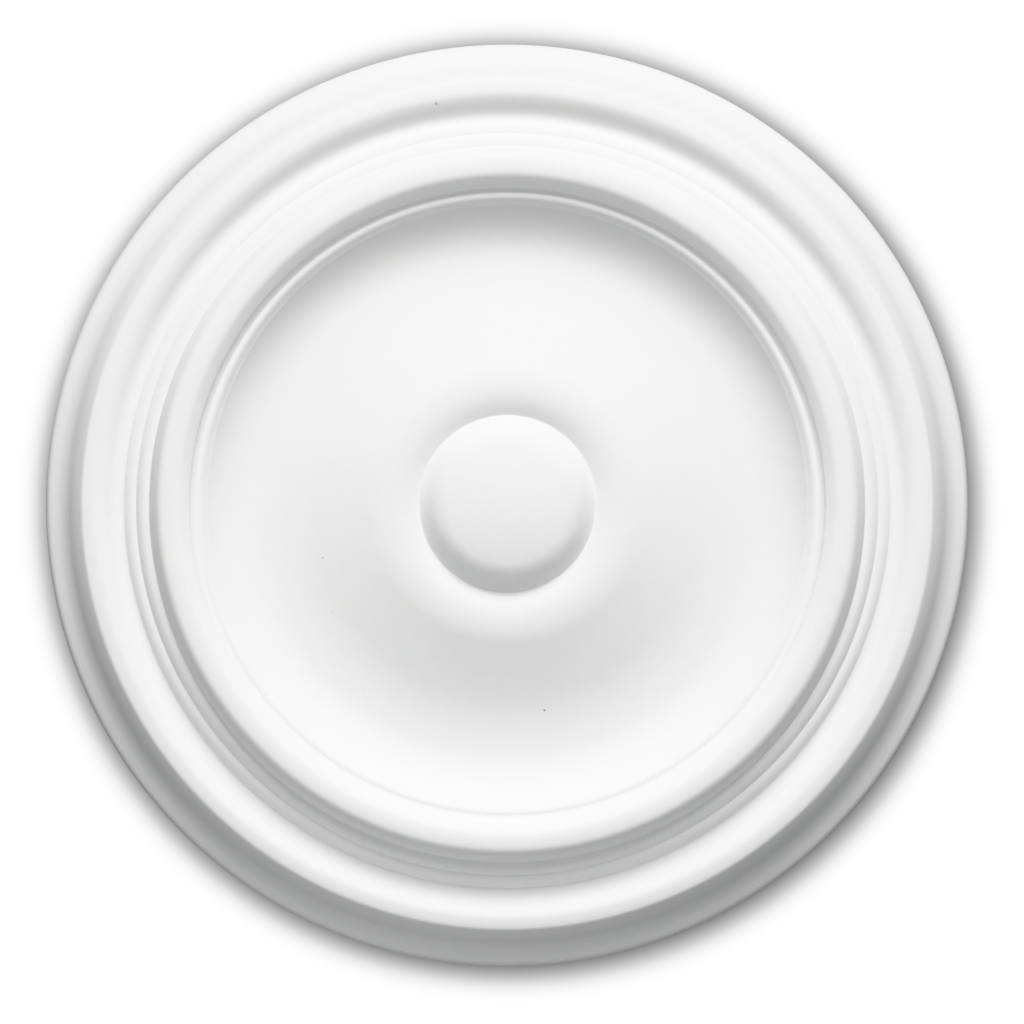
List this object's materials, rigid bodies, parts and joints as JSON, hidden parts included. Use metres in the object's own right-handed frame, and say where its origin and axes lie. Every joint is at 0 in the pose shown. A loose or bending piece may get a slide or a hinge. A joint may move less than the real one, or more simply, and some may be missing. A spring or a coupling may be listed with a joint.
{
  "type": "ceiling rose",
  "caption": "Round plain ceiling rose with a domed central boss, a dished panel, a big round ring, small steps and a flared rim; flat back.",
  "frame": {"origin": "middle of the flat back face, where the rose meets the ceiling", "axes": "+Z is the back face's outward normal, up into the ceiling; the moulded face looks down along -Z; X and Y are level and the rose is alike all round"},
  "size_m": [0.38, 0.38, 0.0474],
  "materials": {
    "primed_foam": "smooth matt white primer on rigid cast foam"
  },
  "bodies": {
    "root": {"ceiling_rose": "primed_foam"}
  },
  "joints": []
}
